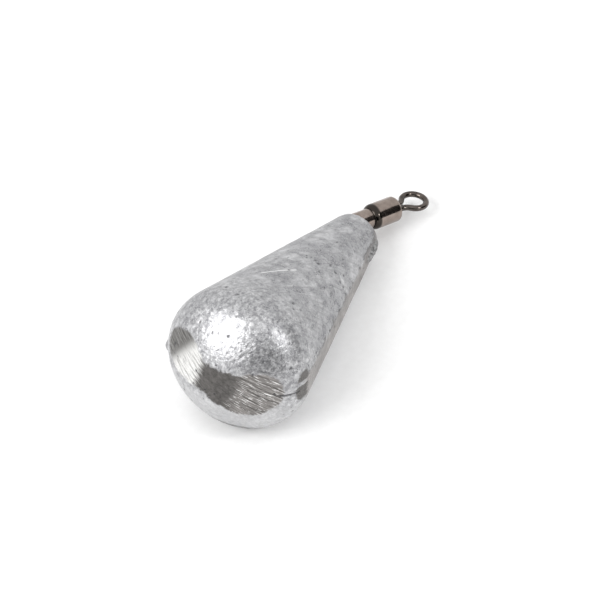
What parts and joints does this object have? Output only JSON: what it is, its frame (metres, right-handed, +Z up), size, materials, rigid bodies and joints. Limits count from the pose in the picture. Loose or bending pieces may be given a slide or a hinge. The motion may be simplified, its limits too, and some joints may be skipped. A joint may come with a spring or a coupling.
{
  "type": "fishing sinker",
  "caption": "Pear-shaped cast lead fishing weight, filed along its mould line, with a rolling barrel swivel cast into its narrow end and a wire eye for the line.",
  "frame": {"origin": "on the surface that the sinker lies on, under the middle of its bounding box", "axes": "+X from the blunt nose towards the line eye, +Z up from the flank that it lies on"},
  "size_m": [0.0614, 0.023, 0.0227],
  "materials": {
    "lead": "mottled cast lead skin, filed bright along the parting line",
    "black_nickel_barrel": "black nickel plate, satin",
    "black_nickel_wire": "black nickel plate, bright",
    "collar_brass": "bare, turned"
  },
  "bodies": {
    "weight": {"lead_weight": "lead", "cast_in_eye": "black_nickel_wire", "cast_in_eye_collar": "collar_brass"},
    "barrel": {"neck_bush": "black_nickel_barrel", "barrel_cup": "black_nickel_barrel"},
    "line_eye": {"line_eye": "black_nickel_wire", "line_eye_collar": "collar_brass"}
  },
  "joints": [
    {"name": "barrel_spin", "type": "hinge", "parent": "weight", "child": "barrel", "pos_m": [0.01592, 0.00129, 0.00498], "axis": [0.8928, -0.4147, -0.176], "continuous": true},
    {"name": "line_eye_spin", "type": "hinge", "parent": "barrel", "child": "line_eye", "pos_m": [0.01592, 0.00129, 0.00498], "axis": [0.8928, -0.4147, -0.176], "continuous": true}
  ]
}
